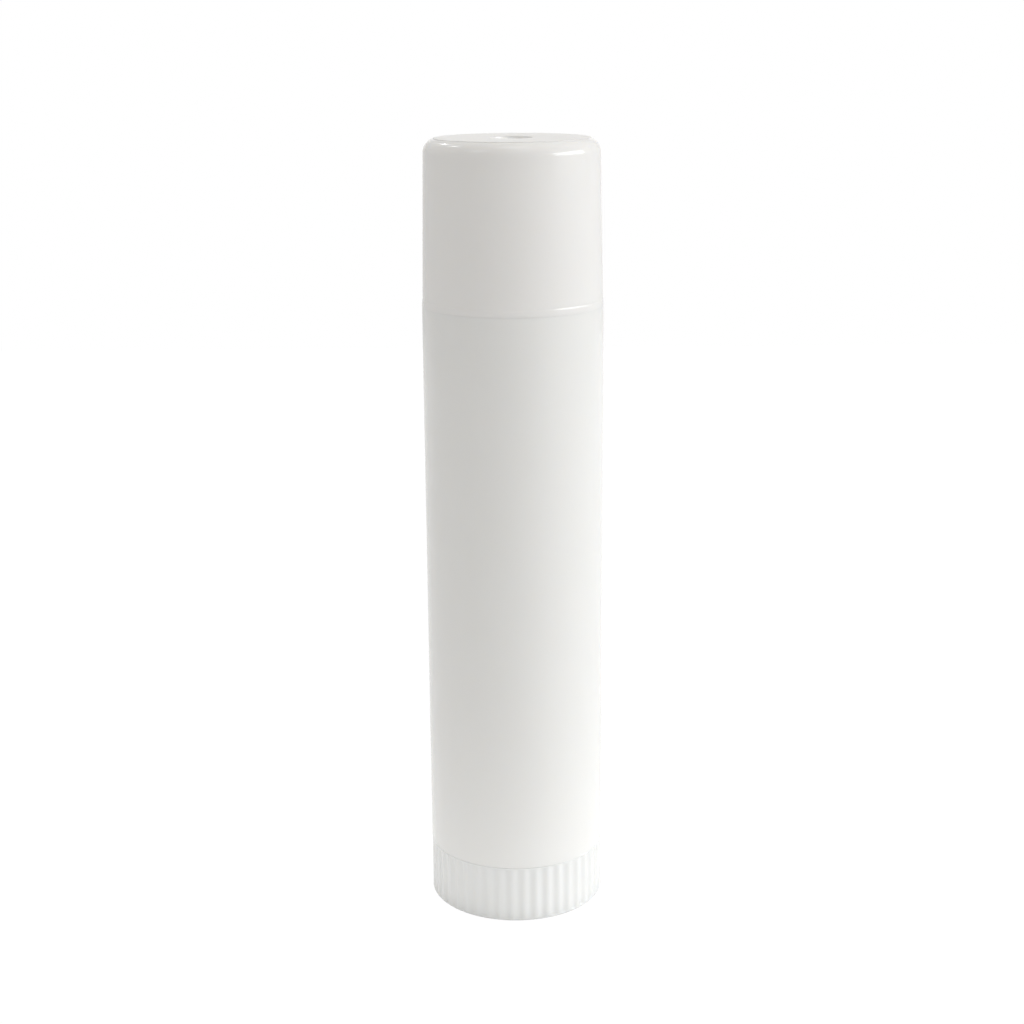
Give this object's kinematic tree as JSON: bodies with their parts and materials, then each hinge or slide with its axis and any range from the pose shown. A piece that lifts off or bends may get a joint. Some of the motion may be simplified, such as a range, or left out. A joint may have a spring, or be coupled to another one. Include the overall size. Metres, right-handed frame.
{
  "type": "twist-up lip balm tube",
  "caption": "Empty white twist-up lip balm tube with a pull-off cap, a ribbed hand wheel at the foot and a screw that lifts a small cup inside the barrel.",
  "frame": {"origin": "centre of the wheel's flat foot, on the surface that the closed tube stands on", "axes": "+Z along the tube's axis, from the wheel to the cap; the outside is round about it, so X and Y are free, and X passes through two of the barrel's four keys"},
  "size_m": [0.016, 0.016, 0.07],
  "materials": {
    "cap_white": "glossy moulded polypropylene",
    "barrel_white": "glossy moulded polypropylene",
    "wheel_white": "glossy moulded polypropylene",
    "cup_natural": "unpolished moulded polyethylene"
  },
  "bodies": {
    "barrel": {"barrel": "barrel_white"},
    "cap": {"cap": "cap_white"},
    "wheel": {"wheel_and_screw": "wheel_white"},
    "cup": {"lifting_cup": "cup_natural"}
  },
  "joints": [
    {"name": "cap_pull", "type": "slide", "parent": "barrel", "child": "cap", "axis": [0, 0, 1], "range_m": [0, 0.03]},
    {"name": "wheel_spin", "type": "hinge", "parent": "barrel", "child": "wheel", "pos_m": [0, 0, 0], "axis": [0, 0, 1], "range_deg": [0, 4320]},
    {"name": "cup_slide", "type": "slide", "parent": "barrel", "child": "cup", "axis": [0, 0, 1], "range_m": [0, 0.048]}
  ],
  "couplings": [
    {"joint": "wheel_spin", "follows": "cup_slide", "rad_per_m": 1570.8}
  ]
}
